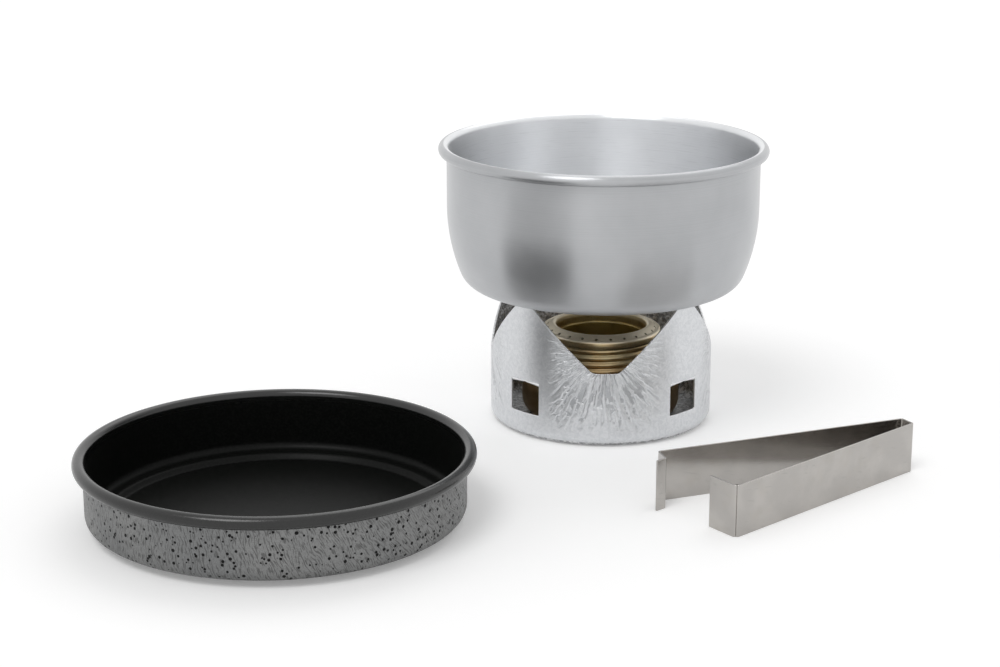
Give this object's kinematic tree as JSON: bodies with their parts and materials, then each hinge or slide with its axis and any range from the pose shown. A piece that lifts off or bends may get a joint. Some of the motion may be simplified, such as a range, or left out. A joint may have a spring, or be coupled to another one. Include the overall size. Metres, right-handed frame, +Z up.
{
  "type": "alcohol spirit stove",
  "caption": "Compact alcohol stove kit: notched metal stand with brass spirit burner under a rolled-rim saucepan, with a frying pan lid and a folded gripper handle beside it.",
  "frame": {"origin": "centre of the stand's underside, on the ground", "axes": "+Z up, -Y towards the front, +X to the right seen from the front"},
  "size_m": [0.3519, 0.295, 0.1288],
  "materials": {
    "stand_aluminium": "pressed, finely wrinkled",
    "burner_brass": "aged satin",
    "wick_felt": "felt",
    "pot_aluminium": "spun satin",
    "pan_aluminium": "bare outside, dark non-stick coating inside and over the rim",
    "handle_steel": "satin"
  },
  "bodies": {
    "stand": {"stand": "stand_aluminium"},
    "burner": {"burner_bowl": "burner_brass", "burner_jet_ring": "burner_brass", "burner_inner_wall": "burner_brass", "burner_wick": "wick_felt"},
    "saucepan": {"saucepan": "pot_aluminium"},
    "frying_pan": {"frying_pan": "pan_aluminium"},
    "handle": {"handle_long_arm": "handle_steel"},
    "handle_free_arm": {"handle_short_arm": "handle_steel"}
  },
  "joints": [
    {"name": "saucepan_lift", "type": "slide", "parent": "stand", "child": "saucepan", "axis": [0, 0, 1], "range_m": [0, 0.14]},
    {"name": "burner_lift", "type": "slide", "parent": "stand", "child": "burner", "axis": [0, 0, 1], "range_m": [0, 0.07]},
    {"name": "frying_pan_lift", "type": "slide", "parent": "stand", "child": "frying_pan", "axis": [0, 0, 1], "range_m": [0, 0.1]},
    {"name": "handle_lift", "type": "slide", "parent": "stand", "child": "handle", "axis": [0, 0, 1], "range_m": [0, 0.1]},
    {"name": "handle_squeeze", "type": "hinge", "parent": "handle", "child": "handle_free_arm", "pos_m": [0.13135, -0.08158, 0.011], "axis": [0, 0, -1], "range_deg": [-3, 14], "stiffness_Nm_per_rad": 1.5}
  ],
  "couplings": [
    {"joint": "burner_lift", "follows": "saucepan_lift", "ratio": 0.5}
  ]
}
